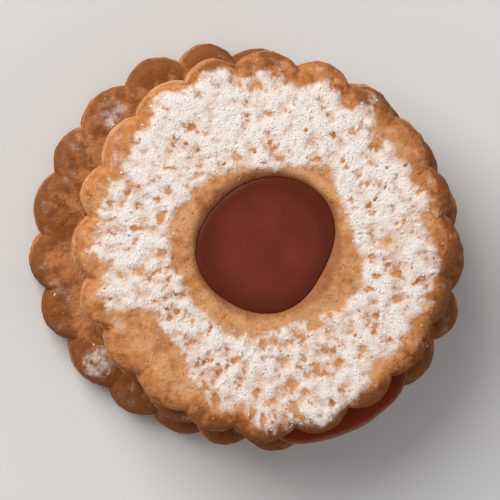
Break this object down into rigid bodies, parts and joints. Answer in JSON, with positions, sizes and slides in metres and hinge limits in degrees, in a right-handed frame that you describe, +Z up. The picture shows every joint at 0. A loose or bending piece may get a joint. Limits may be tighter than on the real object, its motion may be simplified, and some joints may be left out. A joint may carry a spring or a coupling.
{
  "type": "linzer wreath cookie",
  "caption": "Small round triple-decker linzer cookie: fluted shortcrust biscuits with jam between them, the top one a ring whose hole is filled with jam.",
  "frame": {"origin": "middle of the bottom biscuit's flat underside, on the surface that the cookie rests on", "axes": "+Z up through the stack, +X and +Y across the face, with the picture's right along +X and its top along +Y"},
  "size_m": [0.0519, 0.0486, 0.0191],
  "materials": {
    "shortcrust": "matt golden baked shortcrust, dusted with icing sugar",
    "browned_shortcrust": "matt browner shortcrust with ground nuts",
    "jam": "satin set jam, dark red-brown",
    "icing_sugar": "matt powder"
  },
  "bodies": {
    "root": {"bottom_biscuit": "browned_shortcrust", "lower_jam": "jam", "middle_biscuit": "browned_shortcrust", "upper_jam": "jam", "top_biscuit": "shortcrust"}
  },
  "joints": []
}
